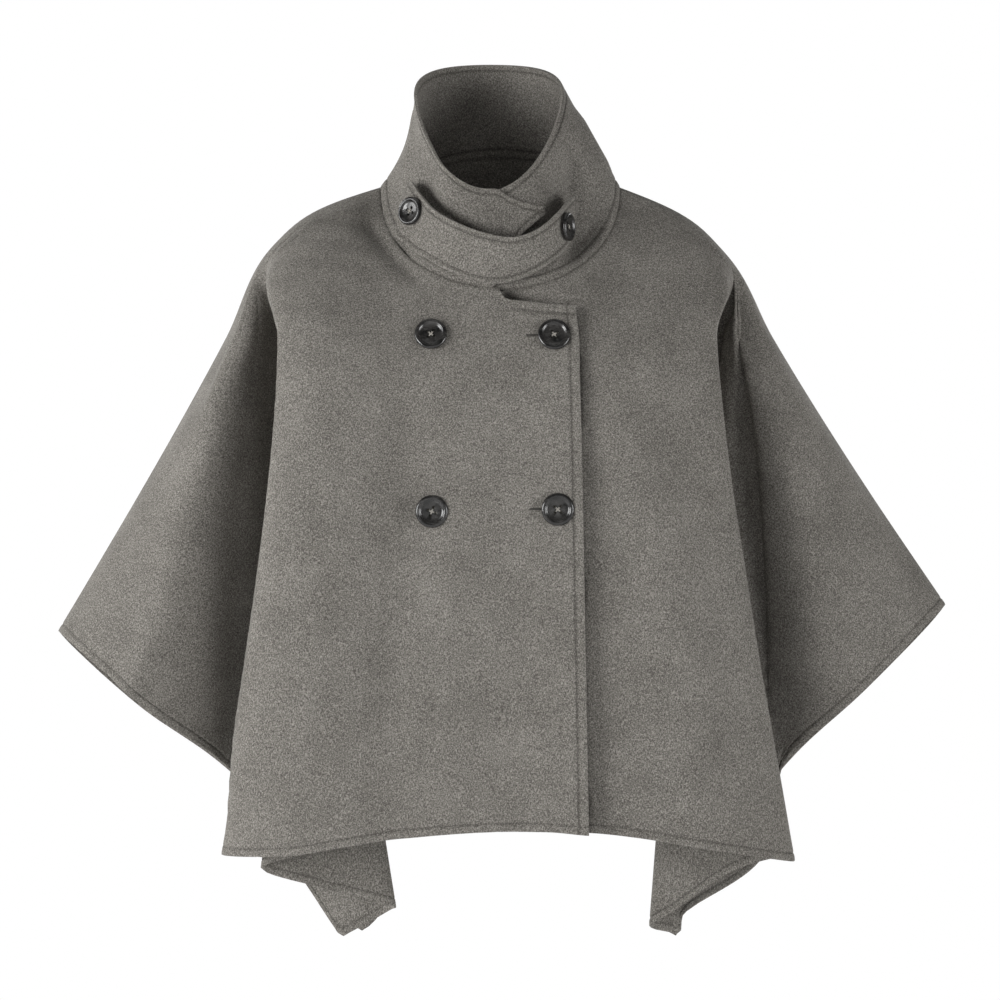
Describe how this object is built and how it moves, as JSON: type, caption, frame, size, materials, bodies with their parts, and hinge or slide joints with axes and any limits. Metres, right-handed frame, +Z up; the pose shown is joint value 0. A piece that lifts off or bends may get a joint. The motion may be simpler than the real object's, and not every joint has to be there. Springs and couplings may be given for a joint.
{
  "type": "wool cape coat",
  "caption": "Double-breasted grey wool cape coat with wing sleeves, a wrapped standing collar and a buttoned throat strap, in its hollow worn form.",
  "frame": {"origin": "midway between the shoulders, level with the sides of the neck seam, where the wearer holds the coat up", "axes": "+X to the wearer's left, +Y to the back of the coat, +Z up"},
  "size_m": [0.8035, 0.3083, 0.7943],
  "materials": {
    "wool": "matte melange",
    "button": "polished horn look",
    "thread": "matte"
  },
  "bodies": {
    "root": {"front_right": "wool", "front_left": "wool", "back": "wool", "collar": "wool", "collar_strap": "wool", "button_upper_right": "button", "button_upper_left": "button", "button_lower_right": "button", "button_lower_left": "button", "strap_button_right": "button", "strap_button_left": "button"}
  },
  "joints": []
}
